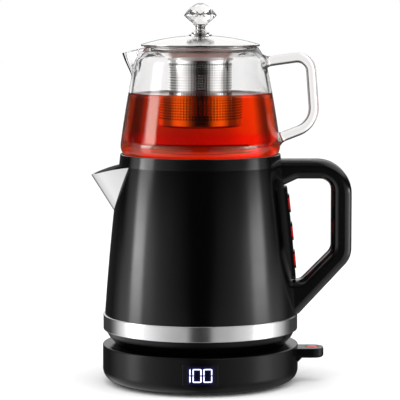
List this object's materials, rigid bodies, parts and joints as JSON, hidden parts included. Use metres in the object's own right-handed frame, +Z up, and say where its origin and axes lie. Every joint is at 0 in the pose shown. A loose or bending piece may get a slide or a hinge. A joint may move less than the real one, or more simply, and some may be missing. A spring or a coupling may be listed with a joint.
{
  "type": "electric tea maker",
  "caption": "Black electric kettle on a round powered base with display, carrying a glass teapot with steel infuser, domed lid and crystal knob.",
  "frame": {"origin": "on the surface that the object stands on, on the kettle's axis", "axes": "+Z up along the kettle's axis, +X to the handles, -X to the spouts, -Y to the display"},
  "size_m": [0.2121, 0.1618, 0.309],
  "materials": {
    "base_black": "fine moulded grain",
    "satin_paint": "satin black paint",
    "brushed": "brushed",
    "polished": "polished",
    "clear_glass": "clear borosilicate",
    "crystal": "cut and clear",
    "handle_black": "satin moulding",
    "rubber_foot": "matt",
    "silicone": "matt silicone",
    "red_lens": "lit translucent",
    "dark_window": "tinted, polished",
    "contact_brass": "plain",
    "circuit_board": "solder mask",
    "screw_steel": "zinc",
    "inner_plastic": "plain moulding",
    "heater_alloy": "cast"
  },
  "bodies": {
    "base": {"base_housing": "base_black", "base_cover": "base_black", "base_feet": "rubber_foot", "base_screws": "screw_steel", "base_plug": "inner_plastic", "base_contacts": "contact_brass", "control_board": "circuit_board", "display_module": "inner_plastic", "display_window": "dark_window", "cord_gland": "rubber_foot", "tab_board": "circuit_board", "tab_switch": "inner_plastic"},
    "power_button": {"power_button": "red_lens"},
    "collar": {"turning_collar": "inner_plastic"},
    "kettle": {"kettle_body": "satin_paint", "kettle_liner": "brushed", "heater_plate": "brushed", "heating_element": "heater_alloy", "kettle_socket": "inner_plastic", "kettle_contacts": "contact_brass", "kettle_skirt": "base_black", "steel_band": "brushed", "top_ring": "base_black", "kettle_spout": "brushed", "spout_filter": "brushed", "handle_grip": "handle_black", "handle_cover": "handle_black", "handle_cap": "handle_black", "handle_screws": "screw_steel", "control_strip": "handle_black", "strip_board": "circuit_board", "strip_switches": "inner_plastic"},
    "button_1": {"button_1": "handle_black", "button_lamp_1": "red_lens"},
    "button_2": {"button_2": "handle_black", "button_lamp_2": "red_lens"},
    "button_3": {"button_3": "handle_black", "button_lamp_3": "red_lens"},
    "teapot": {"teapot_jar": "clear_glass", "teapot_handle": "clear_glass"},
    "infuser": {"infuser_collar": "polished", "infuser_gasket": "silicone", "infuser_sleeve": "brushed", "infuser_base": "brushed"},
    "lid": {"lid_dome": "polished", "lid_skirt": "polished", "lid_washer": "silicone", "knob_stem": "polished", "knob_screw": "screw_steel", "knob_crystal": "crystal"}
  },
  "joints": [
    {"name": "power_button_press", "type": "slide", "parent": "base", "child": "power_button", "axis": [0, 0, -1], "range_m": [0, 0.0007], "stiffness_N_per_m": 600},
    {"name": "kettle_turn", "type": "hinge", "parent": "base", "child": "collar", "pos_m": [0, 0, 0.0315], "axis": [0, 0, 1], "continuous": true},
    {"name": "kettle_lift", "type": "slide", "parent": "collar", "child": "kettle", "axis": [0, 0, 1], "range_m": [0, 0.08]},
    {"name": "button_1_press", "type": "slide", "parent": "kettle", "child": "button_1", "axis": [-1, 0, 0], "range_m": [0, 0.0007], "stiffness_N_per_m": 600},
    {"name": "button_2_press", "type": "slide", "parent": "kettle", "child": "button_2", "axis": [-1, 0, 0], "range_m": [0, 0.0007], "stiffness_N_per_m": 600},
    {"name": "button_3_press", "type": "slide", "parent": "kettle", "child": "button_3", "axis": [-1, 0, 0], "range_m": [0, 0.0007], "stiffness_N_per_m": 600},
    {"name": "teapot_lift", "type": "slide", "parent": "kettle", "child": "teapot", "axis": [0, 0, 1], "range_m": [0, 0.12]},
    {"name": "infuser_lift", "type": "slide", "parent": "teapot", "child": "infuser", "axis": [0, 0, 1], "range_m": [0, 0.12]},
    {"name": "lid_lift", "type": "slide", "parent": "infuser", "child": "lid", "axis": [0, 0, 1], "range_m": [0, 0.06]}
  ]
}
